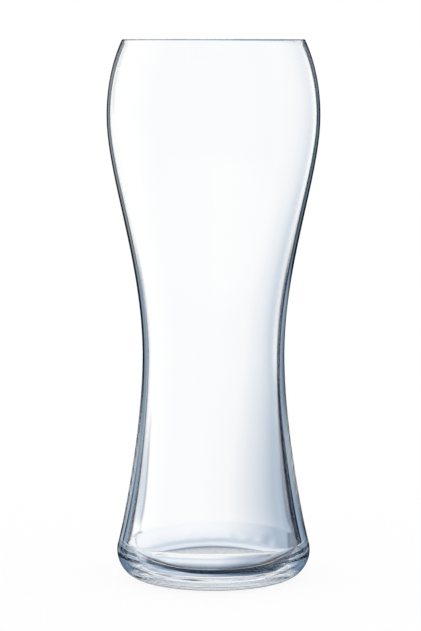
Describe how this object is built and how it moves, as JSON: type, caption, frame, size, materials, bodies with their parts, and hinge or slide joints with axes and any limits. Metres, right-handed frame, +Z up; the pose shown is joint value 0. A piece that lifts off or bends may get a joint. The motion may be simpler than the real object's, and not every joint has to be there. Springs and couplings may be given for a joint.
{
  "type": "beer glass",
  "caption": "Tall waisted clear drinking glass with a rounded rim drawn in above a full belly, a slim grip waist, a flared skirt and a thick round-heeled base.",
  "frame": {"origin": "centre of the standing ring, on the surface that the glass stands on", "axes": "+Z up along the axis that the glass is turned about, from the base to the rim; X and Y lie in the standing plane"},
  "size_m": [0.0806, 0.0806, 0.205],
  "materials": {
    "clear_glass": "clear, fire-polished, with a faint blue cast in the thick glass of the base"
  },
  "bodies": {
    "root": {"rim": "clear_glass", "shoulder": "clear_glass", "belly": "clear_glass", "taper": "clear_glass", "waist": "clear_glass", "skirt": "clear_glass", "heel": "clear_glass", "base": "clear_glass"}
  },
  "joints": []
}
